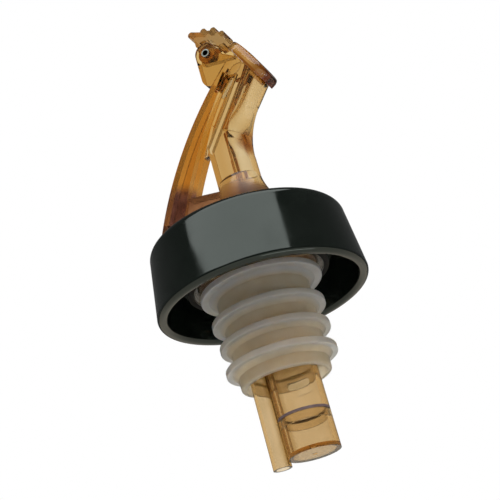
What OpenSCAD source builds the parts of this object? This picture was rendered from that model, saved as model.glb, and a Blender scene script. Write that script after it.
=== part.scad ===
// Measuring liquor pourer: amber spout with a hinged flap, black collar,
// ringed stopper, and a measuring tail with a ball, a breather tube and an end cap.
// Millimetres, Z up. X points to the pouring side. The origin lies on the stopper's
// axis, midway between the two lower sealing rings that grip the bottle neck.

/* [Stopper] */
// Radius of the crown ring, from the top, that sits over the bottle's rim
crown_ring_r = 12.5; // [11.8:0.1:13.5]
// Radius of the second ring
upper_ring_r = 11.55; // [11.2:0.05:12.4]
// Radius of the two lower rings, which grip the neck
grip_ring_r = 11.15; // [10.2:0.05:11.5]
// Height from one ring to the next
ring_pitch = 4.95; // [4:0.05:6]
// Height from the second ring up to the crown ring
crown_pitch = 6.1; // [4.5:0.1:7.5]
// Thickness of a ring at its rim
ring_t = 1.3; // [0.8:0.1:1.8]
// Thickness of a ring where it leaves the core
ring_root_t = 2.1; // [1.2:0.1:2.6]
// Radius that breaks a ring's rim
ring_round = 0.25; // [0.1:0.05:0.5]
// Radius of the core under the crown ring
core_top_r = 9.6; // [9.2:0.1:10]
// Radius of the core at its lower end
core_low_r = 9; // [8.8:0.05:9.3]
// Height of the core above the crown ring
crown_h = 1.55; // [1:0.05:3]
// Height of the core below the lowest ring
heel_h = 3.9; // [3:0.1:6]
// Rounding of the core's lower end
heel_round = 0.45; // [0.2:0.05:0.5]

/* [Base plug] */
// Radius of the neck inside the stopper
neck_r = 8; // [7.8:0.05:8.3]
// Length of the neck below the flange
neck_h = 10.6; // [9:0.1:14]
// Radius of the flange
flange_r = 14.6; // [14.2:0.1:15]
// Thickness of the flange
flange_t = 1.6; // [1.2:0.1:3]
// Radius of the chamber over the valve seat
chamber_r = 3.8; // [3.4:0.05:4]

/* [Collar] */
// Outer radius of the skirt at its lip
collar_low_r = 21.7; // [21.4:0.1:22.5]
// Outer radius of the skirt at its top
collar_top_r = 20.5; // [20.3:0.1:21]
// Height of the collar
collar_h = 15; // [13:0.1:20]
// Radius of the skirt's opening
skirt_bore_r = 19.5; // [19:0.1:19.8]
// How far the skirt hangs below the flange
skirt_reach = 4.6; // [2:0.1:6]
// Rounding of the collar's top edge
collar_round = 1.7; // [0.8:0.1:1.9]
// Rounding of the skirt's lip
lip_round = 1; // [0.5:0.05:1.05]
// Thickness of the collar's web
web_t = 2; // [1.2:0.1:3]
// Wall of the hub that stands on the flange
hub_wall = 1.6; // [1.2:0.1:2.5]

/* [Spout base] */
// Width of the collar's rim round the plinth
rim_w = 2.2; // [2:0.05:2.6]
// Thickness of the plinth
plinth_t = 2; // [1.6:0.1:3]
// How far the plinth stands above the collar
plinth_proud = 0.2; // [0:0.05:1]
// Wall of the drum under the plinth
drum_wall = 1.6; // [1.2:0.1:2.4]
// How far the spout's column lies ahead of the axis
column_x = 2; // [1.8:0.05:2.2]
// Radius of the column
column_r = 4.5; // [4.3:0.05:4.7]
// Height of the column above the plinth
column_h = 12; // [11.5:0.1:12.5]
// Radius of the bell that runs from the plinth up to the column
bell_r = 13.5; // [12.5:0.1:14]

/* [Spout] */
// Radius of the spout's round front
leg_r = 3; // [2.8:0.05:3.2]
// How far the round front's axis lies ahead of the pourer's axis
leg_x = 3.65; // [3.4:0.05:3.8]
// From that axis back to the lower leg's flat back
low_back = 5.75; // [5.5:0.05:6]
// From the axis back to the upper leg's flat back
high_back = 3.4; // [3.1:0.05:3.6]
// Height of the bend's corner above the plinth
corner_h = 23.2; // [22.5:0.1:24]
// Lean of the upper leg from upright, in degrees
high_lean = 39; // [37:0.5:41]
// Length of the upper leg's axis from the corner to the mouth
high_len = 14.15; // [13.8:0.05:14.5]
// Radius of the bend along the axis
bend_r = 20; // [16:0.5:22]
// How much the round front widens towards the mouth
mouth_flare = 0.5; // [0:0.05:0.8]
// Radius of the lower leg's bore
low_bore_r = 1.9; // [1.6:0.05:2.1]
// Radius of the upper leg's bore
high_bore_r = 2.5; // [2.3:0.05:2.55]
// Lean of the mouth's face from upright, in degrees
mouth_lean = 24.5; // [23:0.5:26]

/* [Strut] */
// Width of the strut across the pourer
strut_w = 5.5; // [5:0.1:5.8]
// How far the strut's heel stands in from the plinth's edge
heel_in = 0.9; // [0.7:0.05:1.2]
// Height where the strut's back starts to lean
heel_top = 7; // [5:0.1:8]
// Radius of the strut's back
back_r = 83; // [75:1:100]
// Radius of the strut's front
front_r = 100; // [90:1:120]
// Radius of the strut's round top
arch_r = 2.1; // [1.9:0.05:2.2]
// Thickness of the web between the strut and the upper leg
web_w = 1.8; // [1.2:0.1:3]
// Wall before and behind the air duct in the strut
duct_wall = 0.6; // [0.5:0.05:0.9]
// Width of the air duct across the pourer
duct_w = 1.7; // [1.2:0.1:2.5]
// Length of the air slots near the strut's top
slot_len = 4.4; // [3:0.1:5]
// Width of the air slots
slot_w = 0.8; // [0.6:0.05:1.1]

/* [Flap and hinge] */
// How far the hinge pin lies above the mouth's centre, along the mouth's face
pin_up = 12.9; // [12.4:0.1:13.4]
// How far the hinge pin lies behind the mouth's face
pin_in = 4.4; // [4.1:0.05:4.7]
// Radius of the hinge pin
pin_r = 0.95; // [0.8:0.05:1.1]
// Radius of the pin's hollow
pin_bore_r = 0.55; // [0.3:0.05:0.6]
// Width of the hinge over both ears
hinge_w = 4.2; // [3.8:0.1:4.8]
// Thickness of each ear
ear_t = 0.95; // [0.8:0.05:1.1]
// Radius of the ears round the pin
ear_r = 2.5; // [2.2:0.05:2.6]
// Radius of the flap's knuckle round the pin
knuckle_r = 2; // [1.7:0.05:2.2]
// Radius of the thumb head round the pin
head_r = 5.4; // [5:0.05:5.6]
// Radius of one grip ridge
ridge_r = 0.75; // [0.5:0.05:0.9]
// Width of the flap's tongue
tongue_w = 8.5; // [7.5:0.1:9.5]
// How far the tongue reaches past the mouth's centre
tongue_reach = 4.6; // [4.3:0.1:5.5]
// Thickness of the tongue
tongue_t = 2.25; // [1.8:0.05:2.6]
// Rounding of the tongue's outer edge
tongue_round = 1.4; // [0.8:0.05:1.5]
// Radius of the tongue's domed outer face, from end to end
dome_r = 40; // [30:1:80]
// Radius of the plug under the tongue
plug_r = 2.2; // [1.8:0.05:2.25]
// Height of the plug
plug_h = 1.05; // [0.6:0.05:1.2]

/* [Tail] */
// How far the measuring tube lies ahead of the axis
tail_x = 1.4; // [1.2:0.05:1.5]
// Radius of the measuring tube
tail_r = 5.1; // [5:0.05:5.3]
// Radius of the measuring tube's bore
tail_bore_r = 4.2; // [4.1:0.02:4.24]
// Radius of the spigot that plugs into the neck
spigot_r = 4.7; // [4.6:0.02:4.75]
// Length of the spigot in the neck
spigot_h = 6.5; // [5:0.1:8]
// Length of the measuring tube below the neck
tail_h = 18; // [16:0.1:24]
// Thickness of the seal ring
seal_t = 0.5; // [0.3:0.05:0.8]
// Length of the lap between the tube and the cap
lap_h = 2; // [1.2:0.1:2.6]
// Outer radius of the lap
lap_r = 4.65; // [4.55:0.01:4.7]
// Height of the end cap
cap_h = 7.4; // [5.5:0.1:9]
// Thickness of the cap's floor
cap_floor = 0.9; // [0.7:0.05:1.4]
// Radius of the cap's metering hole
meter_r = 0.5; // [0.3:0.05:0.8]
// Length of the inlet slot round the tube
inlet_w = 5; // [3.5:0.1:5.5]
// Height of the inlet slot
inlet_h = 1.6; // [1.2:0.1:2.2]
// Height of the inlet slot above the seal ring
inlet_up = 6.8; // [5.5:0.1:8]
// How far the slot lies towards the breather
inlet_off = 0.8; // [0:0.1:1]
// Margin of the recess round the inlet slot
recess_margin = 1.3; // [0.8:0.1:1.5]
// Depth of that recess
recess_d = 0.45; // [0.2:0.05:0.5]
// How far the breather tube lies behind the axis
breather_x = 5.7; // [5.65:0.01:5.75]
// Radius of the breather tube
breather_r = 1.85; // [1.7:0.05:1.9]
// Radius of the breather's bore
breather_bore_r = 1.3; // [1:0.05:1.45]
// How far the breather reaches below the cap
breather_below = 0.6; // [0:0.1:2]

/* [Valve] */
// Radius of the measuring ball
ball_r = 3.85; // [3.7:0.05:3.95]
// Thickness of the valve seat
seat_t = 1.8; // [1.4:0.1:2.2]
// Radius of the valve seat's hole
seat_bore_r = 3; // [2.6:0.05:3.2]

/* [Fits] */
// Radial gap of a pushed fit
fit_gap = 0.04; // [0.02:0.01:0.06]
// Gap round the hinge's moving faces
hinge_gap = 0.15; // [0.1:0.01:0.25]
// Radial gap of the pin in the knuckle
pin_gap = 0.05; // [0.03:0.01:0.1]
// Gap that keeps the ball and flap off their seats
rest_gap = 0.2; // [0.1:0.05:0.3]

/* [Hidden] */
$fn = 96;

amber = "#c9933f";
milky = "#cfcfc4";
steel = "#b9bdc2";
black = "#15181a";

// Levels, from the sealing rings upwards and then down the tail
grip_top_z = ring_pitch / 2;
upper_z = grip_top_z + ring_pitch;
crown_z = upper_z + crown_pitch;
flange_z = crown_z + crown_h;
flange_top_z = flange_z + flange_t;
skirt_z = flange_z - skirt_reach;
collar_top_z = skirt_z + collar_h;
plinth_z = collar_top_z + plinth_proud;
web_top_z = plinth_z - plinth_t;
stopper_low_z = -grip_top_z - heel_h;
neck_low_z = flange_z - neck_h;
seat_low_z = neck_low_z + spigot_h;
seat_top_z = seat_low_z + seat_t;
seal_top_z = neck_low_z - tail_h;
cap_top_z = seal_top_z - seal_t;
cap_low_z = cap_top_z - cap_h;
cap_floor_z = cap_low_z + cap_floor;
breather_low_z = cap_low_z - breather_below;

// Radii that follow a fit
drum_r = flange_r - 0.8;
hub_bore_r = drum_r + fit_gap;
hub_r = hub_bore_r + hub_wall;
plinth_r = collar_top_r - rim_w;
recess_r = plinth_r + fit_gap;
heel_x = heel_in - plinth_r;

// The spout's axis in the side view, x and height above the plinth
high_dir = [sin(high_lean), cos(high_lean)];
high_side = [-cos(high_lean), sin(high_lean)];
corner = [leg_x, corner_h];
mouth = corner + high_len * high_dir;
bend_len = bend_r * tan(high_lean / 2);
mouth_dir = [sin(mouth_lean), -cos(mouth_lean)];
mouth_out = [cos(mouth_lean), sin(mouth_lean)];
pin = mouth - pin_up * mouth_dir - pin_in * mouth_out;

// The strut's round top lies behind the mouth, and both its arcs end there
arch = mouth + [-4.05, 3];
back_low = [heel_x, heel_top];
back_high = arch + arch_r * [-0.72, 0.69];
front_low = [-9.6, 12.3];
front_high = arch + [-1.1, -0.5];
bar_end = [leg_x - low_back, 10.6];

// Back corner of the spout where its two flat backs meet
back_corner = let (low_x = leg_x - low_back, start = corner + high_back * high_side)
    start + (low_x - start[0]) / high_dir[0] * high_dir;
// The web starts at the crotch between the strut and the lower leg
web_foot = back_corner + [-2, -0.9];
chin = pin + [0, -6.2];
nub = pin + [-2.1, 6.1];
// The tongue's neck stops a little below the pin
neck_len = 3;
tongue_len = pin_up - 1.7;
// Front corners of the ears, on the mouth's face, and the lowest corner of the gap between them
ear_low = mouth - 3.2 * mouth_dir;
ear_front = mouth - (pin_up - 5.3) * mouth_dir;
gap_low = mouth - (pin_up - 6.4) * mouth_dir - 0.77 * mouth_out;
// The flat cheeks lie a little inside the round front's width
cheek_step = 0.7;
// The bend is a hair thinner than the legs and laps into both, in degrees
bend_step = 0.05;
bend_lap = 2;
// The lower leg's bore ends a little above the bend's corner
bore_lap = 0.2;
// The tongue's dome is highest a little below its middle
dome_shift = 0.6;
// The bell's arc meets the plinth at a slant
bell_sink = 0.3;

// The ball seats where its sphere meets the rim of the seat's hole
seat_rim_z = seat_low_z + seat_t * 0.6;
ball_z = seat_rim_z - sqrt(ball_r * ball_r - seat_bore_r * seat_bore_r) - rest_gap;

// Centre of the circle of radius r through a and b that lies to the right of a to b
function arc_centre(a, b, r) =
    let (half = (b - a) / 2, d = norm(half), side = [half[1], -half[0]] / d)
    a + half + side * sqrt(r * r - d * d);

// Lay a side view, x and height above the plinth, out as a slab of width w
module slab(w) {
    translate([0, 0, plinth_z])
        rotate([90, 0, 0])
            linear_extrude(w, center = true)
                children();
}

// Run a tube part along the spout's axis, from a point, with a lean from upright
module along(point, lean) {
    translate([point[0], 0, plinth_z + point[1]])
        rotate([0, lean, 0])
            children();
}

// One sealing ring of the stopper, as a half section with a rounded rim
module ring_section(r, z) {
    land_z = z - ring_t / 2 + ring_round;
    translate([neck_r + 0.5, z - ring_t / 2])
        square([r - ring_round - neck_r - 0.5, ring_t]);
    translate([r - 2 * ring_round, land_z])
        square([2 * ring_round, ring_t - 2 * ring_round]);
    for (edge = [0, ring_t - 2 * ring_round])
        translate([r - ring_round, land_z + edge])
            circle(ring_round, $fn = 32);
    polygon([[neck_r + 0.5, z - ring_root_t], [r - 2 * ring_round, z], [neck_r + 0.5, z + ring_root_t]]);
}

module stopper() {
    color(milky)
        rotate_extrude()
            difference() {
                union() {
                    polygon([[0, stopper_low_z + heel_round], [core_low_r, stopper_low_z + heel_round],
                        [core_top_r, flange_z], [0, flange_z]]);
                    translate([0, stopper_low_z])
                        square([core_low_r - heel_round, heel_round]);
                    translate([core_low_r - heel_round, stopper_low_z + heel_round])
                        circle(heel_round, $fn = 32);
                    ring_section(crown_ring_r, crown_z);
                    ring_section(upper_ring_r, upper_z);
                    for (side = [-1, 1])
                        ring_section(grip_ring_r, side * grip_top_z);
                }
                translate([-1, stopper_low_z - 1])
                    square([neck_r + fit_gap + 1, flange_z - stopper_low_z + 2]);
                translate([0, flange_z])
                    square([crown_ring_r, ring_root_t]);
            }
}

module base_plug() {
    color(amber)
        difference() {
            union() {
                translate([0, 0, flange_z])
                    cylinder(r = flange_r, h = flange_t);
                translate([0, 0, neck_low_z])
                    cylinder(r = neck_r, h = neck_h + flange_t / 2);
            }
            translate([tail_x, 0, neck_low_z - 1])
                cylinder(r = spigot_r + fit_gap, h = spigot_h + seat_t + 1);
            translate([tail_x, 0, seat_top_z - 1])
                cylinder(r = chamber_r, h = flange_top_z - seat_top_z + 2);
            translate([-breather_x, 0, neck_low_z - 1])
                cylinder(r = breather_r + fit_gap, h = neck_h + flange_t + 2);
        }
}

module valve_seat() {
    color(black)
        translate([tail_x, 0, 0])
            rotate_extrude()
                polygon([[spigot_r, seat_low_z], [spigot_r, seat_top_z], [seat_bore_r, seat_top_z],
                    [seat_bore_r, seat_rim_z], [tail_bore_r, seat_low_z]]);
}

module measuring_ball() {
    color(steel)
        translate([tail_x, 0, ball_z])
            sphere(ball_r);
}

// Rounded slot across the far wall of the measuring tube
module inlet_cut(margin, depth) {
    h = inlet_h + 2 * margin;
    w = inlet_w + 2 * margin;
    translate([tail_x - inlet_off, tail_r - depth, seal_top_z + inlet_up])
        rotate([-90, 0, 0])
            linear_extrude(tail_r)
                union() {
                    square([w - h, h], center = true);
                    for (side = [-1, 1])
                        translate([side * (w - h) / 2, 0])
                            circle(h / 2, $fn = 48);
                }
}

module measuring_tube() {
    color(amber)
        difference() {
            union() {
                translate([tail_x, 0, neck_low_z - 1])
                    cylinder(r = spigot_r, h = spigot_h + 1);
                translate([tail_x, 0, seal_top_z])
                    cylinder(r = tail_r, h = tail_h);
                translate([tail_x, 0, seal_top_z - lap_h])
                    cylinder(r = lap_r, h = lap_h + 1);
                // web that stays the breather
                translate([-breather_x, -breather_r * 0.35, seal_top_z])
                    cube([breather_x, breather_r * 0.7, tail_h]);
            }
            translate([tail_x, 0, seal_top_z - lap_h - 1])
                cylinder(r = tail_bore_r, h = tail_h + lap_h + spigot_h + 2);
            translate([-breather_x, 0, seal_top_z - 1])
                cylinder(r = breather_r + fit_gap, h = tail_h + 2);
            inlet_cut(0, tail_r);
            inlet_cut(recess_margin, recess_d);
        }
}

// Flat ring at the tail's joint
module seal_ring() {
    color(black)
        translate([tail_x, 0, cap_top_z])
            difference() {
                cylinder(r = tail_r, h = seal_t);
                translate([0, 0, -1])
                    cylinder(r = lap_r + fit_gap, h = seal_t + 2);
            }
}

module end_cap() {
    color(amber)
        translate([tail_x, 0, 0])
            difference() {
                translate([0, 0, cap_low_z])
                    cylinder(r = tail_r, h = cap_h);
                translate([0, 0, cap_floor_z])
                    cylinder(r = tail_bore_r, h = cap_h);
                translate([0, 0, seal_top_z - lap_h - fit_gap])
                    cylinder(r = lap_r + fit_gap, h = cap_h);
                translate([0, 0, cap_low_z - 1])
                    cylinder(r = meter_r, h = cap_h);
            }
}

module breather_tube() {
    color(amber)
        translate([-breather_x, 0, breather_low_z])
            difference() {
                cylinder(r = breather_r, h = flange_top_z - breather_low_z);
                translate([0, 0, -1])
                    cylinder(r = breather_bore_r, h = flange_top_z - breather_low_z + 2);
            }
}

module collar() {
    outer_lip_x = collar_low_r - lip_round;
    inner_lip_x = skirt_bore_r + lip_round;
    web_low_z = web_top_z - web_t;
    top_x = collar_top_r - collar_round;
    color(black)
        rotate_extrude()
            union() {
                polygon([[inner_lip_x, skirt_z], [outer_lip_x, skirt_z],
                    [collar_low_r, skirt_z + lip_round], [collar_top_r, collar_top_z - collar_round],
                    [top_x, collar_top_z], [recess_r, collar_top_z], [recess_r, web_top_z],
                    [hub_bore_r, web_top_z], [hub_bore_r, flange_top_z], [hub_r, flange_top_z],
                    [hub_r, web_low_z], [collar_top_r - web_t, web_low_z],
                    [skirt_bore_r, skirt_z + lip_round]]);
                translate([top_x, collar_top_z - collar_round])
                    intersection() {
                        circle(collar_round);
                        square(collar_round + 1);
                    }
                for (x = [inner_lip_x, outer_lip_x])
                    translate([x, skirt_z + lip_round])
                        circle(lip_round);
            }
}

// Cylinder across the pourer, about a point of the side view
module across(point, r, w) {
    translate([point[0], 0, plinth_z + point[1]])
        rotate([90, 0, 0])
            cylinder(r = r, h = w, center = true, $fn = 240);
}

// The strut between its two arcs, drawn in by a wall
module strut(w, wall) {
    difference() {
        intersection() {
            slab(w)
                polygon([[heel_x + wall, 0], [heel_x + wall, back_high[1]], back_high,
                    front_high, front_low, [front_low[0], 0]]);
            across(arc_centre(back_low, back_high, back_r), back_r - wall, w + 1);
        }
        across(arc_centre(front_low, front_high, front_r), front_r + wall, w + 1);
    }
}

// The bar that joins the strut's foot to the column
module bar(w, wall) {
    slab(w)
        polygon([[heel_x + wall, 0], [heel_x + wall, heel_top], front_low + [-1.5, -wall],
            front_low + [1.2, -0.2 - wall], bar_end + [0, -wall], bar_end + [0, -bar_end[1]]]);
}

// The spout's round front, bent between its two legs, and the flat cheeks and back behind it
module spout_legs() {
    back_top = mouth + leg_r * high_dir;
    translate([leg_x, 0, plinth_z])
        cylinder(r = leg_r, h = corner_h - bend_len);
    translate([leg_x + bend_r, 0, plinth_z + corner_h - bend_len])
        rotate([90, 0, 0])
            rotate([0, 0, 180 - high_lean - bend_lap])
                rotate_extrude(angle = high_lean + 2 * bend_lap)
                    translate([bend_r, 0])
                        circle(leg_r - bend_step);
    along(corner + bend_len * high_dir, high_lean)
        cylinder(r1 = leg_r, r2 = leg_r + mouth_flare, h = high_len - bend_len + leg_r);
    slab(2 * leg_r - cheek_step)
        polygon([[leg_x, 0], [leg_x, corner_h - bend_len], corner + [0.6, -0.4], back_top,
            back_top + high_back * high_side, back_corner, [leg_x - low_back, 0]]);
}

module spout_bore() {
    translate([leg_x, 0, flange_top_z - 1])
        cylinder(r = low_bore_r, h = plinth_z + corner_h + bore_lap - flange_top_z + 1);
    along(corner, high_lean)
        cylinder(r = high_bore_r, h = high_len + 2 * leg_r);
}

// The bell between the plinth and the column
module bell() {
    intersection() {
        translate([column_x, 0, plinth_z])
            rotate_extrude()
                difference() {
                    square([column_r + bell_r, column_h]);
                    translate([column_r + bell_r, bell_r - bell_sink])
                        circle(bell_r, $fn = 180);
                }
        translate([0, 0, plinth_z])
            cylinder(r = plinth_r, h = column_h);
    }
}

// Ears round the pin, standing on the strut's back
module hinge_ears() {
    across(pin, ear_r, hinge_w);
    across(chin, ear_r, hinge_w);
    slab(hinge_w)
        polygon([pin + [-ear_r, 0], chin + [-ear_r, 0], chin, back_high + [-2, -3], arch,
            ear_low, ear_front, pin + [ear_r * 0.98, 0]]);
}

module drum_hollow() {
    difference() {
        union() {
            translate([0, 0, flange_top_z - 1])
                cylinder(r = drum_r - drum_wall, h = web_top_z - flange_top_z + 1);
            translate([0, 0, web_top_z - 0.01])
                cylinder(r1 = drum_r - drum_wall, r2 = column_r + 2, h = plinth_t + 2);
        }
        translate([column_x, 0, flange_top_z - 2])
            cylinder(r = column_r, h = plinth_z);
    }
}

// Air way: down the strut, along the bar and into the drum
module air_duct() {
    strut(duct_w, duct_wall);
    translate([heel_x + duct_wall + 0.5, -duct_w / 2, web_top_z + duct_wall])
        cube([column_x - column_r - heel_x - duct_wall - 0.6, duct_w, bar_end[1]]);
    slab(strut_w + 2)
        translate(back_high + [-2, -3.6])
            rotate(90 - high_lean)
                square([slot_len, slot_w], center = true);
}

// Face of the mouth, just behind the closed flap
module mouth_cut() {
    reach = 2 * tongue_w;
    translate([mouth[0], 0, plinth_z + mouth[1]])
        rotate([0, 90 - mouth_lean, 0])
            translate([-reach / 2, -reach / 2, -rest_gap])
                cube(reach);
}

module hinge_cut() {
    gap_w = hinge_w - 2 * ear_t;
    across(pin, pin_r, hinge_w + 2);
    across(pin, ear_r + hinge_gap, gap_w);
    slab(gap_w)
        polygon([pin + [0, -ear_r - hinge_gap], gap_low, pin + 2 * pin_in * mouth_out, pin + [0, 2 * ear_r]]);
}

module spout() {
    color(amber)
        difference() {
            union() {
                translate([0, 0, web_top_z])
                    cylinder(r = plinth_r, h = plinth_t);
                translate([0, 0, flange_top_z])
                    cylinder(r = drum_r, h = web_top_z - flange_top_z + plinth_t / 2);
                translate([column_x, 0, plinth_z - plinth_t])
                    cylinder(r = column_r, h = column_h + plinth_t);
                bell();
                spout_legs();
                strut(strut_w, 0);
                across(arch, arch_r, strut_w);
                bar(strut_w, 0);
                slab(web_w)
                    polygon([web_foot, back_corner + [0.5, -1], mouth + [-3, 1], arch, (web_foot + arch) / 2 + [-1.2, 1]]);
                hinge_ears();
            }
            drum_hollow();
            spout_bore();
            air_duct();
            mouth_cut();
            hinge_cut();
        }
}

module hinge_pin() {
    color(steel)
        difference() {
            across(pin, pin_r, hinge_w);
            across(pin, pin_bore_r, hinge_w + 2);
        }
}

// Half section of the tongue, its outer edge rounded
module tongue_half() {
    half = tongue_w / 2;
    intersection() {
        union() {
            square([half, tongue_t - tongue_round]);
            square([half - tongue_round, tongue_t]);
            translate([half - tongue_round, tongue_t - tongue_round])
                circle(tongue_round, $fn = 64);
        }
        square([half + 1, tongue_t + 1]);
    }
}

// The tongue over the mouth: an oblong lid with a domed face, a neck and a plug below
module tongue() {
    half = tongue_w / 2;
    low_x = tongue_reach - half;
    high_x = half + neck_len / 2 - tongue_len;
    translate([mouth[0], 0, plinth_z + mouth[1]])
        rotate([0, 90 - mouth_lean, 0]) {
            intersection() {
                union() {
                    for (x = [low_x, high_x])
                        translate([x, 0, 0])
                            rotate_extrude()
                                tongue_half();
                    translate([high_x, 0, 0])
                        rotate([90, 0, 90])
                            linear_extrude(low_x - high_x)
                                union() {
                                    tongue_half();
                                    mirror([1, 0])
                                        tongue_half();
                                }
                    translate([-tongue_len, -hinge_w / 2, 0])
                        cube([neck_len + half / 2, hinge_w, tongue_t]);
                }
                translate([(low_x + high_x) / 2 + dome_shift, 0, tongue_t - dome_r])
                    rotate([90, 0, 0])
                        cylinder(r = dome_r, h = 2 * tongue_w, center = true, $fn = 240);
            }
            // the plug follows the bore's slant, so that it is free at its foot
            translate([plug_h * tan(90 - high_lean - mouth_lean), 0, -plug_h])
                cylinder(r = plug_r, h = plug_h + tongue_t / 2);
        }
}

// Thumb head round the pin, with its ridges and nub
module thumb_head() {
    side_x = -knuckle_r * 0.85;
    slab(hinge_w) {
        intersection() {
            translate(pin)
                circle(head_r);
            polygon([pin + [side_x, 0], pin + [side_x, head_r], pin + [head_r, head_r], pin + [head_r, 0]]);
        }
        for (turn = [80, 54, 27])
            translate(pin + (head_r + 0.05) * [cos(turn), sin(turn)])
                circle(ridge_r, $fn = 48);
        translate(nub)
            circle(ridge_r, $fn = 48);
        polygon([nub + [-0.2, -ridge_r], pin + [side_x, head_r * 0.85], pin + [0.6, head_r],
            nub + [0.25, ridge_r * 0.93]]);
    }
}

module flap() {
    web = hinge_w - 2 * ear_t - 2 * hinge_gap;
    color(amber)
        difference() {
            union() {
                tongue();
                difference() {
                    thumb_head();
                    across(pin, ear_r + 4 * hinge_gap, hinge_w + 2);
                }
                across(pin, knuckle_r, web);
                slab(web)
                    polygon([pin + [-knuckle_r * 0.85, 0.4], pin + [-knuckle_r * 0.85, head_r * 0.75],
                        pin + [head_r * 0.75, head_r * 0.4], pin + [head_r * 0.75, 0.2], pin + [knuckle_r, 0]]);
            }
            across(pin, pin_r + pin_gap, hinge_w + 2);
        }
}

spout();
flap();
hinge_pin();
collar();
stopper();
base_plug();
valve_seat();
measuring_ball();
measuring_tube();
seal_ring();
end_cap();
breather_tube();
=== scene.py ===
# %% [markdown]
# # A measuring liquor pourer, dressed for its portrait
# The pourer is a bar tool of clear amber mouldings, one gloss black collar and a milky stopper.
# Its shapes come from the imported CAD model, so this lesson is about what light does in them:
# tinted clear plastic, a softbox in black gloss, cloudy soft plastic and bright steel.

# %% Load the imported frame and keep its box
import math

import bpy
from mathutils import Matrix, Vector


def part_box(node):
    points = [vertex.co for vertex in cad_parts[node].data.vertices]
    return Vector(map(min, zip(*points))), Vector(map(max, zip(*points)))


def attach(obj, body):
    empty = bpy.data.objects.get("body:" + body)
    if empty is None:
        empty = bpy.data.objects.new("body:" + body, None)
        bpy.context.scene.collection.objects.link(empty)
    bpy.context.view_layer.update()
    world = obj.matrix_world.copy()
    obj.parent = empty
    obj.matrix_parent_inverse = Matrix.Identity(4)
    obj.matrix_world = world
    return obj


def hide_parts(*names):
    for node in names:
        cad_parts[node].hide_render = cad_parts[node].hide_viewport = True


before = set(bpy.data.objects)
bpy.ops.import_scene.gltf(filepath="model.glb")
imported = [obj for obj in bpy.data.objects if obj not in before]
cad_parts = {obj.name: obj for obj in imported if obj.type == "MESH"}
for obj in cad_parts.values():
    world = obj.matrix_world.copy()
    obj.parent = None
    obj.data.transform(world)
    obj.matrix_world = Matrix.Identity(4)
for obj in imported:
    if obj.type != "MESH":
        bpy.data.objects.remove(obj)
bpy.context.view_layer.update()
MM = 0.001
print("pieces:", ", ".join(sorted(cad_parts)))

# %% [markdown]
# ## Camera
# The photograph looks up at the pourer from below, with the whole tool leaning in the picture.
# A camera could be nudged by eye until it looks right. Here it is turned by three angles and
# then pushed back along its own line of sight, so each number has one visible effect.

# %% Camera
picture_px = 500
lens_px = 1004
sensor_mm = 36
view_azimuth = math.radians(21)
view_elevation = math.radians(-24.15)
view_roll = math.radians(-15.81)
view_distance = 200 * MM
nearest_seen = 10 * MM
slide_right = -3.02 * MM
slide_up = 10.42 * MM


def direction(azimuth, elevation):
    """Unit vector from the object to a place round it; azimuth 0 is the near side, -Y."""
    flat = math.cos(elevation)
    return Vector((math.sin(azimuth) * flat, -math.cos(azimuth) * flat, math.sin(elevation)))


skirt_centre = Vector((0, 0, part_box("collar")[0].z))
toward_camera = direction(view_azimuth, view_elevation)
level_right = Vector((math.cos(view_azimuth), math.sin(view_azimuth), 0))
level_up = toward_camera.cross(level_right)
camera_right = math.cos(view_roll) * level_right + math.sin(view_roll) * level_up
camera_up = math.cos(view_roll) * level_up - math.sin(view_roll) * level_right

camera_data = bpy.data.cameras.new("portrait_camera")
camera_data.sensor_width = sensor_mm
camera_data.lens = lens_px / picture_px * sensor_mm
camera_data.clip_start = nearest_seen
camera = bpy.data.objects.new("portrait_camera", camera_data)
bpy.context.collection.objects.link(camera)
camera_turn = Matrix((camera_right, camera_up, toward_camera)).transposed()
aimed_at = skirt_centre + slide_right * camera_right + slide_up * camera_up
camera_place = aimed_at + view_distance * toward_camera
camera.matrix_world = Matrix.Translation(camera_place) @ camera_turn.to_4x4()
bpy.context.scene.camera = camera
print("camera at mm:", [round(part / MM, 1) for part in camera.location])

# %% [markdown]
# ## Material helpers
# Every finish below is a small tree of shader nodes. Writing each node out in full hides what
# matters, so one helper starts a finish, one adds a node with its settings, one links results
# to the shader and one gives the finish to whole pieces.

# %% Helpers that start, fill and use a finish


def start_finish(name):
    """New material with its main shader; returns material, node tree and shader."""
    finish = bpy.data.materials.new(name)
    finish.use_nodes = True
    tree = finish.node_tree
    return finish, tree, tree.nodes["Principled BSDF"]


def add(tree, kind, settings=None, inputs=None):
    """Adds one shader node; inputs holds numbers to set or sockets to link."""
    made = tree.nodes.new(kind)
    for key, value in (settings or {}).items():
        setattr(made, key, value)
    for key, value in (inputs or {}).items():
        if isinstance(value, bpy.types.NodeSocket):
            tree.links.new(value, made.inputs[key])
        else:
            made.inputs[key].default_value = value
    return made


def dress(tree, shader, **sockets):
    """Links made sockets to the shader's inputs, named with underscores for spaces."""
    for name, socket in sockets.items():
        tree.links.new(socket, shader.inputs[name.replace("_", " ")])


def paint(finish, *names):
    """Gives a finish to whole CAD pieces."""
    for name in names:
        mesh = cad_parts[name].data
        mesh.materials.clear()
        mesh.materials.append(finish)
    print(finish.name, "on", ", ".join(names))


# %% [markdown]
# ## Places
# A finish may differ from place to place on a piece. Painted maps would need every mesh to be
# unwrapped. The object's own coordinates are the CAD model's, in metres, so a place can be
# told by plain distances: from the axis, from a point, or along a line in the side view.

# %% Helpers that tell a place


def row_position(tree):
    """Socket with the place on the object at rest, in metres."""
    return add(tree, "ShaderNodeTexCoord").outputs["Object"]


def parts(tree, position):
    """The three parts of a place, by name."""
    return add(tree, "ShaderNodeSeparateXYZ", inputs={"Vector": position}).outputs


def sums(tree, operation, *values):
    """Socket of one sum over numbers or sockets."""
    return add(tree, "ShaderNodeMath", {"operation": operation}, dict(enumerate(values))).outputs["Value"]


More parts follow.
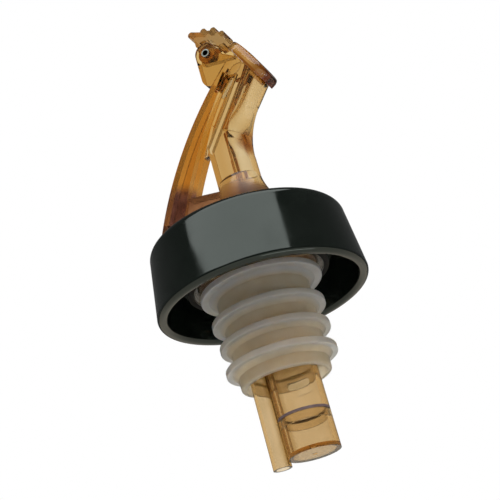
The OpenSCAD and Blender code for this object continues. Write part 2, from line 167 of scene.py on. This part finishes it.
def from_axis(tree, position):
    """Distance from the pourer's axis."""
    flat = add(tree, "ShaderNodeVectorMath", {"operation": "MULTIPLY"}, {0: position, 1: (1, 1, 0)})
    length = add(tree, "ShaderNodeVectorMath", {"operation": "LENGTH"}, {0: flat.outputs["Vector"]})
    return length.outputs["Value"]


def along_side(tree, place, point, angle):
    """How far ahead of a point in the side view, in a direction at an angle above the X axis."""
    ahead = sums(tree, "MULTIPLY", sums(tree, "SUBTRACT", place["X"], point.x), math.cos(angle))
    above = sums(tree, "MULTIPLY", sums(tree, "SUBTRACT", place["Z"], point.z), math.sin(angle))
    return sums(tree, "ADD", ahead, above)


def beside(tree, place, point):
    """Distance from a point in the side view."""
    ahead = sums(tree, "POWER", sums(tree, "SUBTRACT", place["X"], point.x), 2)
    above = sums(tree, "POWER", sums(tree, "SUBTRACT", place["Z"], point.z), 2)
    return sums(tree, "SQRT", sums(tree, "ADD", ahead, above))


# %% [markdown]
# ## Changes
# Between two places a value or a colour changes smoothly. A colour ramp node could hold many
# stops, but a smooth step between two named ends is easier to read and to move.

# %% Helpers for a smooth change and a blend
# The mix node has sockets for every type of data, and these are the ones for colours.
MIX_COLOURS_IN = (6, 7)
MIX_COLOUR_OUT = 2


def ramp(tree, value, start, end, low=0, high=1):
    """Smooth change from low to high while the value goes from start to end."""
    return add(tree, "ShaderNodeMapRange", {"interpolation_type": "SMOOTHSTEP"}, {
        "Value": value, "From Min": start, "From Max": end, "To Min": low, "To Max": high}).outputs["Result"]


def fade_out(tree, value, start, end):
    """Smooth change from 1 to 0 while the value goes from start to end."""
    return ramp(tree, value, start, end, low=1, high=0)


def blend_colours(tree, share, first, second):
    """Colour that goes from the first to the second as the share goes from 0 to 1."""
    mixed = add(tree, "ShaderNodeMix", {"data_type": "RGBA"}, {"Factor": share})
    for slot, colour in zip(MIX_COLOURS_IN, (first, second)):
        if isinstance(colour, bpy.types.NodeSocket):
            tree.links.new(colour, mixed.inputs[slot])
        else:
            mixed.inputs[slot].default_value = (*colour, 1)
    return mixed.outputs[MIX_COLOUR_OUT]


# %% [markdown]
# ## Small wear
# No moulding is perfectly even. Patches of haze, hairline scratches and a faint ripple of the
# skin all come from one noise, at different sizes. Noise lies mostly near 0.5, so patches
# change through its middle and scratches take only its peaks.

# %% Helpers for patches, scratches and ripple
PATCH_EDGES = (0.35, 0.65)
SCRATCH_EDGES = (0.66, 0.72)


def noise(tree, position, size, detail, stretch=(1, 1, 1)):
    """Soft noise with patches of one size, in metres, drawn out where the stretch is below 1."""
    sized = add(tree, "ShaderNodeMapping", inputs={"Vector": position, "Scale": stretch})
    return add(tree, "ShaderNodeTexNoise", inputs={
        "Vector": sized.outputs["Vector"], "Scale": 1 / size, "Detail": detail}).outputs["Fac"]


def clouds(tree, position, size, low=0, high=1):
    """Soft patches between a low and a high value."""
    return ramp(tree, noise(tree, position, size, detail=4), *PATCH_EDGES, low, high)


def hairlines(tree, position, size, stretch, depth):
    """Thin scratches along one direction: 0 on the bare skin and up to depth in a scratch."""
    return ramp(tree, noise(tree, position, size, detail=2, stretch=stretch), *SCRATCH_EDGES, 0, depth)


def moulded_skin(tree, position, wave_size, wave_depth, edge=0):
    """Normal with a faint moulded ripple, over edges rounded by one radius."""
    ripple = noise(tree, position, wave_size, detail=2)
    bump = add(tree, "ShaderNodeBump", inputs={"Height": ripple, "Distance": wave_depth})
    if edge:
        rounded = add(tree, "ShaderNodeBevel", {"samples": 4}, {"Radius": edge})
        tree.links.new(rounded.outputs["Normal"], bump.inputs["Normal"])
    return bump.outputs["Normal"]


# %% [markdown]
# ## Clear amber plastic
# The spout and flap are moulded in one tinted clear plastic. A see-through colour painted on
# the surface would look the same on a thin lip and a thick root. Real tint deepens with the
# length of plastic that light passes, so part of the colour is in the volume, as absorption.
#
# The rest is on the skin. In the photograph the plastic also differs from place to place, by
# what lies behind it and what it mirrors, and absorption alone doesn't reach that. So light and
# shade read from that one view are painted into the colour at fixed places: an orange strut with
# a pale edge and side, golden ears, a smoky head with a tan crest, a pale tongue with a dark end,
# a dark line at the mouth, a pale lower leg, a brown patch before the elbow and a red brown foot.
# The pale edge, side, leg and tongue and the smoky head are painted highlights and reflections.
# The dark end, the dark line, the brown patch and the foot are painted shade. The orange strut,
# the golden ears and the tan crest are painted light seen through the plastic. They stay in
# every other view too, where the real plastic would change.

# %% Places on the amber mouldings
mouth = Vector((12.555 * MM, 0, 59.87 * MM))
mouth_lean = math.radians(24.5)
mouth_out = Vector((math.cos(mouth_lean), 0, math.sin(mouth_lean)))
mouth_down = Vector((math.sin(mouth_lean), 0, -math.cos(mouth_lean)))
pin_low, pin_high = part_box("hinge_pin")
pin_centre = (pin_low + pin_high) / 2
head_lean = math.radians(66)
crest_lean = math.radians(105)
strut_foot = Vector((-13.5 * MM, 0, 38 * MM))
strut_lean = math.radians(33.4)
elbow_front = Vector((7.1 * MM, 0, 45 * MM))
collar_top = Vector((0, 0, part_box("collar")[1].z))
foot_lean = math.radians(66)
print("pin at mm:", [round(part / MM, 2) for part in pin_centre])

# %% Helpers for clear plastic
amber_ior = 1.49


def start_clear(name):
    """New finish that light passes through and is bent by, as in clear plastic."""
    finish, tree, shader = start_finish(name)
    shader.inputs["Transmission Weight"].default_value = 1
    shader.inputs["IOR"].default_value = amber_ior
    return finish, tree, shader


def tint_body(tree, colour, density):
    """Colours light by the length of plastic that it passes, with the density per metre."""
    body = add(tree, "ShaderNodeVolumeAbsorption", inputs={"Color": (*colour, 1), "Density": density})
    tree.links.new(body.outputs["Volume"], tree.nodes["Material Output"].inputs["Volume"])


# %% Shares of the tints on the mouldings
amber, tree, shader = start_clear("amber_clear")
position = row_position(tree)
place = parts(tree, position)

before_strut = along_side(tree, place, strut_foot, -strut_lean)
strut = fade_out(tree, before_strut, start=2.6 * MM, end=3.4 * MM)
# Painted highlight: the strut's outer edge is painted pale.
strut_edge_highlight = fade_out(tree, before_strut, start=-1.9 * MM, end=-1.2 * MM)
behind_column = fade_out(tree, place["X"], start=-3 * MM, end=-0.5 * MM)
under_arch = fade_out(tree, place["Z"], start=48 * MM, end=52 * MM)
# Painted light: the strut's side under the arch is painted pale.
strut_side_light = sums(tree, "MULTIPLY", sums(tree, "SUBTRACT", behind_column, strut), under_arch)

near_pin = fade_out(tree, beside(tree, place, pin_centre), start=7 * MM, end=9 * MM)
over_pin = ramp(tree, along_side(tree, place, pin_centre, head_lean), start=0, end=2.5 * MM)
at_crest = ramp(tree, along_side(tree, place, pin_centre, crest_lean), start=4.2 * MM, end=6 * MM)
# Painted reflection: the head's smoky grey. Painted light seen through the plastic: the tan crest and the
# golden ears.
head = sums(tree, "MULTIPLY", near_pin, over_pin)
crest = sums(tree, "MULTIPLY", near_pin, at_crest)
ears = sums(tree, "SUBTRACT", near_pin, head)

off_mouth = along_side(tree, place, mouth, mouth_lean)
down_mouth = along_side(tree, place, mouth, mouth_lean - math.pi / 2)
# Painted reflection: the tongue is painted pale. Painted shade: its end is painted dark.
tongue = ramp(tree, off_mouth, start=-0.15 * MM, end=0)
tongue_end_shade = sums(tree, "MULTIPLY", tongue, ramp(tree, down_mouth, start=-1.5 * MM, end=2 * MM))
at_mouth = fade_out(tree, sums(tree, "ABSOLUTE", off_mouth), start=0.2 * MM, end=0.5 * MM)
# Painted shade: a dark line along the gap between the lid and the mouth.
mouth_gap_shade = sums(tree, "MULTIPLY", at_mouth, ramp(tree, down_mouth, start=-8 * MM, end=-6 * MM))

# Painted shade: a brown patch before the elbow.
elbow_shade = fade_out(tree, beside(tree, place, elbow_front), start=1.2 * MM, end=3.2 * MM)
under_elbow = fade_out(tree, place["Z"], start=46 * MM, end=49 * MM)
# Painted light: the lower leg is painted pale.
low_leg_light = sums(tree, "MULTIPLY", under_elbow, ramp(tree, place["X"], start=-1 * MM, end=2 * MM))
# Painted shade: the foot, where the black collar lies behind the plastic.
foot = fade_out(tree, along_side(tree, place, collar_top, foot_lean), start=8.8 * MM, end=11.8 * MM)
print("steps that share out the tints:", len(tree.nodes))

# %% Amber finish for the mouldings
haze = clouds(tree, position, size=5 * MM)
skin = blend_colours(tree, haze, (0.8, 0.69, 0.48), (0.84, 0.73, 0.53))
# Painted shade on the foot: milder in front of the column, dark red brown behind it.
bell_shade = blend_colours(tree, haze, (0.56, 0.45, 0.42), (0.64, 0.54, 0.5))
foot_shade_behind_column = blend_colours(tree, clouds(tree, position, size=2.5 * MM), (0.26, 0.15, 0.14), (0.44, 0.3, 0.3))
# Every tint here is painted light and shade at a fixed place: pale ones are painted highlights and
# reflections, dark ones painted shade, orange and golden ones painted light seen through the plastic.
painted_light_and_shade = (
    (strut, (0.77, 0.52, 0.2)),
    (strut_edge_highlight, (0.95, 0.9, 0.84)),
    (strut_side_light, (0.95, 0.93, 0.86)),
    (low_leg_light, (0.9, 0.85, 0.74)),
    (tongue, (0.95, 0.93, 0.92)),
    (head, (0.54, 0.45, 0.33)),
    (crest, (0.62, 0.4, 0.22)),
    (ears, (0.72, 0.52, 0.22)),
    (tongue_end_shade, (0.3, 0.2, 0.12)),
    (mouth_gap_shade, (0.45, 0.28, 0.12)),
    (elbow_shade, (0.4, 0.2, 0.1)),
    (foot, blend_colours(tree, behind_column, bell_shade, foot_shade_behind_column)),
)
for share, tint in painted_light_and_shade:
    skin = blend_colours(tree, share, skin, tint)
scratched = sums(tree, "ADD", clouds(tree, position, size=3 * MM, low=0.015, high=0.06),
                 hairlines(tree, position, size=0.5 * MM, stretch=(1, 1, 0.06), depth=0.12))
dull_foot = sums(tree, "MULTIPLY", foot, ramp(tree, behind_column, start=0, end=1, low=0.4, high=0.08))
dress(tree, shader, Base_Color=skin, Roughness=sums(tree, "ADD", scratched, dull_foot),
      Normal=moulded_skin(tree, position, wave_size=4 * MM, wave_depth=0.01 * MM, edge=0.15 * MM))
tint_body(tree, colour=(0.75, 0.52, 0.03), density=300)
paint(amber, "spout", "flap")

# %% [markdown]
# ## Seated lid
# The CAD flap stands a fifth of a millimetre off the ears, so that it is free to turn, and the
# camera looks right along that gap. The photograph shows no light there. A filler piece would
# close the gap, but the object has no such piece. So the lid is a copy of the CAD flap whose
# flat underside is let down, almost to the ears, and nothing else of it is changed.

# %% Lid let down on its seat
flap_clearance = 0.2 * MM
seat_clearance = 0.02 * MM
flat_within = 0.01 * MM
seat_start = -8 * MM
lid_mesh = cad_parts["flap"].data.copy()
let_down = 0
for corner in lid_mesh.vertices:
    from_mouth = corner.co - mouth
    on_underside = abs(from_mouth.dot(mouth_out)) < flat_within
    if on_underside and from_mouth.dot(mouth_down) > seat_start:
        corner.co -= (flap_clearance - seat_clearance) * mouth_out
        let_down += 1
lid = bpy.data.objects.new("seated_flap", lid_mesh)
bpy.context.collection.objects.link(lid)
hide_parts("flap")
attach(lid, "lid")
print("corners of the lid let down:", let_down, "of", len(lid_mesh.vertices))

# %% [markdown]
# ## Amber of the tail and the plug
# The measuring tube, its cap and the breather are thin walled tubes of the same plastic, with
# painted shade on the web between tube and breather. The plug above them shows only where its
# flange stands out under the collar. There it is painted almost black, as painted shade, and
# mirrors hardly anything, so that the inside of the skirt stays dark as in the photograph.

# %% Amber finish for the tail
tail_amber, tree, shader = start_clear("tail_amber_clear")
position = row_position(tree)
web_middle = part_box("breather_tube")[1].x
from_web = sums(tree, "ABSOLUTE", sums(tree, "SUBTRACT", parts(tree, position)["X"], web_middle))
# Painted shade: the web between tube and breather is painted darker.
web_shade = fade_out(tree, from_web, start=0.2 * MM, end=0.9 * MM)
clear = blend_colours(tree, clouds(tree, position, size=4 * MM), (0.78, 0.68, 0.51), (0.82, 0.72, 0.56))
scratched = sums(tree, "ADD", clouds(tree, position, size=3 * MM, low=0.02, high=0.08),
                 hairlines(tree, position, size=0.4 * MM, stretch=(1, 1, 0.05), depth=0.15))
dress(tree, shader, Base_Color=blend_colours(tree, web_shade, clear, (0.5, 0.38, 0.2)), Roughness=scratched,
      Normal=moulded_skin(tree, position, wave_size=3 * MM, wave_depth=0.01 * MM, edge=0.08 * MM))
tint_body(tree, colour=(0.75, 0.52, 0.08), density=300)
paint(tail_amber, "measuring_tube", "end_cap", "breather_tube")

# %% Amber finish for the plug
plug_amber, tree, shader = start_clear("plug_amber_clear")
shader.inputs["Specular IOR Level"].default_value = 0
position = row_position(tree)
flange = ramp(tree, from_axis(tree, position), start=13.2 * MM, end=13.6 * MM)
clear = blend_colours(tree, clouds(tree, position, size=4 * MM), (0.85, 0.76, 0.6), (0.9, 0.82, 0.68))
satin = clouds(tree, position, size=3 * MM, low=0.1, high=0.25)
# Painted shade: the plug's flange under the collar is painted almost black.
dress(tree, shader, Base_Color=blend_colours(tree, flange, clear, (0.01, 0.008, 0.006)),
      Roughness=sums(tree, "MAXIMUM", satin, flange),
      Normal=moulded_skin(tree, position, wave_size=3 * MM, wave_depth=0.01 * MM))
tint_body(tree, colour=(0.75, 0.52, 0.08), density=120)
paint(plug_amber, "base_plug")

# %% [markdown]
# ## Gloss black collar
# The collar is a deep black moulding with a polished skin. Its shape shows only in what it
# mirrors, so the base is almost black and all the care goes into the roughness: a clean gloss,
# broken by faint smudges and hairline scratches from handling.

# %% Black finish for the collar
black, tree, shader = start_finish("black_gloss")
shader.inputs["IOR"].default_value = 1.5
shader.inputs["Specular Tint"].default_value = (0.88, 1, 0.94, 1)
position = row_position(tree)
smudge = clouds(tree, position, size=8 * MM)
scratched = sums(tree, "ADD", clouds(tree, position, size=6 * MM, low=0.05, high=0.12),
                 hairlines(tree, position, size=0.6 * MM, stretch=(1, 1, 8), depth=0.1))
dress(tree, shader, Roughness=scratched,
      Base_Color=blend_colours(tree, smudge, (0.004, 0.0062, 0.0046), (0.006, 0.0085, 0.0066)),
      Normal=moulded_skin(tree, position, wave_size=6 * MM, wave_depth=0.004 * MM))
paint(black, "collar")

# %% [markdown]
# ## Milky stopper
# The stopper is a soft plastic that is neither clear nor solid: light goes in, scatters and
# comes out greyer. Clear glass would show the plug inside it sharply, and plain paint would
# hide it. Scattering under the surface gives the cloudy look. The walls, behind which the amber
# neck stands, are painted tan, as painted light of the neck seen through them, while the thin
# rings stay pale.

# %% Milky finish for the stopper
milky, tree, shader = start_finish("milky_soft")
shader.inputs["IOR"].default_value = 1.45
shader.inputs["Transmission Weight"].default_value = 0.75
shader.inputs["Subsurface Weight"].default_value = 1
shader.inputs["Subsurface Radius"].default_value = (1, 0.9, 0.75)
shader.inputs["Subsurface Scale"].default_value = 3 * MM
position = row_position(tree)
on_ring = ramp(tree, from_axis(tree, position), start=9.3 * MM, end=10.6 * MM)
cloud = clouds(tree, position, size=3 * MM)
# Painted light: the walls are painted tan, as the amber neck seen through them.
neck_seen_through_wall = blend_colours(tree, cloud, (0.84, 0.72, 0.53), (0.9, 0.79, 0.61))
ring = blend_colours(tree, cloud, (0.8, 0.8, 0.76), (0.86, 0.86, 0.82))
dress(tree, shader, Base_Color=blend_colours(tree, on_ring, neck_seen_through_wall, ring),
      Roughness=clouds(tree, position, size=2 * MM, low=0.3, high=0.45),
      Normal=moulded_skin(tree, position, wave_size=1.5 * MM, wave_depth=0.02 * MM))
paint(milky, "stopper")

# %% [markdown]
# ## Steel and the dark rings
# The ball and the hollow hinge pin are polished steel, and the seal and valve seat are soft
# dark rings. Steel needs something to mirror and a little grain, the rings only a dull skin
# with a fine grain of its own. The photograph shows the pin as a dull ring round a dark hole,
# so the pin is painted darker than the ball and its hollow is painted almost black, as painted
# shade.

# %% Steel finish for the ball and the pin
steel, tree, shader = start_finish("polished_steel")
shader.inputs["Metallic"].default_value = 1
position = row_position(tree)
from_pin = beside(tree, parts(tree, position), pin_centre)
# Painted shade: the pin's hollow is painted almost black, and the pin is painted darker than the ball.
hollow = fade_out(tree, from_pin, start=0.62 * MM, end=0.72 * MM)
grain = clouds(tree, position, size=0.8 * MM)
darker_pin = blend_colours(tree, grain, (0.1, 0.112, 0.1), (0.15, 0.162, 0.145))
bright = blend_colours(tree, grain, (0.5, 0.51, 0.52), (0.62, 0.63, 0.65))
metal = blend_colours(tree, ramp(tree, from_pin, start=2 * MM, end=4 * MM), darker_pin, bright)
dress(tree, shader, Base_Color=blend_colours(tree, hollow, metal, (0.01, 0.012, 0.01)),
      Roughness=clouds(tree, position, size=1 * MM, low=0.15, high=0.32),
      Normal=moulded_skin(tree, position, wave_size=0.4 * MM, wave_depth=0.004 * MM, edge=0.1 * MM))
paint(steel, "measuring_ball", "hinge_pin")

# %% Dark finish for the seal and the seat
dark_ring, tree, shader = start_finish("dark_soft_ring")
position = row_position(tree)
grain = clouds(tree, position, size=0.5 * MM)
dress(tree, shader, Base_Color=blend_colours(tree, grain, (0.13, 0.085, 0.085), (0.2, 0.14, 0.14)),
      Roughness=clouds(tree, position, size=0.5 * MM, low=0.5, high=0.75),
      Normal=moulded_skin(tree, position, wave_size=0.5 * MM, wave_depth=0.01 * MM))
paint(dark_ring, "seal_ring", "valve_seat")

# %% [markdown]
# ## Studio
# The photograph has a white background, and the collar mirrors one broad bright panel in a dark
# room. White all round would fill the collar with grey and wash the clear pieces out, so the
# sky answers each kind of light ray in its own way:
# - white to the camera, and to rays that go straight through a clear piece;
# - a warm tone to rays that leave a clear piece after they were mirrored, which keeps the
#   amber from turning black inside;
# - white to scattered rays that head behind the object, as from a backdrop;
# - a dim room, paler from below, to all the others.

# %% Sky
scene = bpy.context.scene
scene.view_settings.view_transform = "Standard"
sky = bpy.data.worlds.new("studio_sky")
scene.world = sky
sky.use_nodes = True
tree = sky.node_tree
tree.nodes.clear()
ray = add(tree, "ShaderNodeLightPath")
was_mirrored = sums(tree, "GREATER_THAN", ray.outputs["Glossy Depth"], 0.5)
seen_colour = blend_colours(tree, was_mirrored, (1, 1, 1), (0.85, 0.7, 0.46))
heading = add(tree, "ShaderNodeTexCoord").outputs["Generated"]
behind = add(tree, "ShaderNodeVectorMath", {"operation": "DOT_PRODUCT"}, {
    0: heading, 1: tuple(-toward_camera)}).outputs["Value"]
backdrop = sums(tree, "MULTIPLY", ray.outputs["Is Diffuse Ray"], ramp(tree, behind, start=0.1, end=0.6))
looked_at = sums(tree, "MAXIMUM", ray.outputs["Is Camera Ray"], ray.outputs["Is Transmission Ray"])
seen = sums(tree, "MAXIMUM", looked_at, backdrop)
room_level = ramp(tree, parts(tree, heading)["Z"], start=-0.75, end=-0.35, low=0.5, high=0.1)
bright_sky = add(tree, "ShaderNodeBackground", inputs={"Color": seen_colour, "Strength": 1})
dim_room = add(tree, "ShaderNodeBackground", inputs={"Color": (1, 1, 1, 1), "Strength": room_level})
either = add(tree, "ShaderNodeMixShader", inputs={
    0: seen, 1: dim_room.outputs["Background"], 2: bright_sky.outputs["Background"]})
add(tree, "ShaderNodeOutputWorld", inputs={"Surface": either.outputs["Shader"]})
print("sky: white to look at, warm inside clear pieces, a dim room to mirror")

# %% [markdown]
# ## Softboxes
# One broad panel hangs overhead, and a small one fills from below. The left strip of the
# overhead panel is mirrored in the flat faces of the ears and the lid as a grey veil, which the
# photograph doesn't have. Leaving the strip out would narrow the band on the collar. A studio
# would put a flag in its way, and here light linking does that: the strip is a lamp of its own
# that reaches only the collar and the hinge pin.

# %% Softboxes


def softbox(name, place, turned, wide, tall, power):
    """Rectangular lamp at a place from the skirt's centre, in metres; clear pieces don't show it."""
    lamp = bpy.data.lights.new(name, "AREA")
    lamp.shape = "RECTANGLE"
    lamp.size = wide
    lamp.size_y = tall
    lamp.energy = power
    holder = bpy.data.objects.new(name, lamp)
    holder.matrix_world = Matrix.Translation(skirt_centre + place) @ turned
    holder.visible_transmission = False
    bpy.context.collection.objects.link(holder)
    print(name, "at", [round(part, 2) for part in place])
    return holder


def facing_softbox(name, azimuth, elevation, distance, side, power):
    """Square softbox at a place round the skirt, facing it."""
    away = direction(math.radians(azimuth), math.radians(elevation))
    facing = away.to_track_quat("Z", "Y").to_matrix().to_4x4()
    return softbox(name, distance * away, facing, side, side, power)


overhead_turn = Matrix.Rotation(math.radians(35), 4, "Z")
overhead_height = 1.5
overhead_depth = 1.95
overhead_middle = -1.275
overhead_left = -2.15
overhead_right = 1.074
flag_edge = -1.3
watts_per_area = 8.24


def overhead_panel(name, left, right):
    """Strip of the overhead softbox, from one side to the other in its own direction."""
    centre = overhead_turn @ Vector(((left + right) / 2, overhead_middle, overhead_height))
    wide = right - left
    power = watts_per_area * wide * overhead_depth
    return softbox(name, centre, overhead_turn, wide, overhead_depth, power)


overhead_panel("overhead_softbox", flag_edge, overhead_right)
flagged = overhead_panel("flagged_softbox", overhead_left, flag_edge)
lit_pieces = bpy.data.collections.new("lit_past_the_flag")
for name in ("collar", "hinge_pin"):
    lit_pieces.objects.link(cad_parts[name])
flagged.light_linking.receiver_collection = lit_pieces
facing_softbox("low_softbox", azimuth=60, elevation=-60, distance=0.3, side=0.3, power=1.6)

# %% [markdown]
# ## Floor
# The tool is shown in the air, since a bottle would hold it. The camera is under it and looks
# up, so the floor lies below the camera, out of the portrait, and still takes a soft shadow
# and gives some light back from below.

# %% Floor
floor_drop = 190 * MM
floor_half = 2
floor_mesh = bpy.data.meshes.new("floor")
floor_mesh.from_pydata(
    [(-floor_half, -floor_half, -floor_drop), (floor_half, -floor_half, -floor_drop),
     (floor_half, floor_half, -floor_drop), (-floor_half, floor_half, -floor_drop)],
    [], [(0, 1, 2, 3)])
floor = bpy.data.objects.new("floor", floor_mesh)
bpy.context.collection.objects.link(floor)
pale, tree, shader = start_finish("pale_floor")
shader.inputs["Base Color"].default_value = (0.8, 0.8, 0.8, 1)
shader.inputs["Roughness"].default_value = 0.9
floor_mesh.materials.append(pale)
print("floor at mm:", -floor_drop / MM)
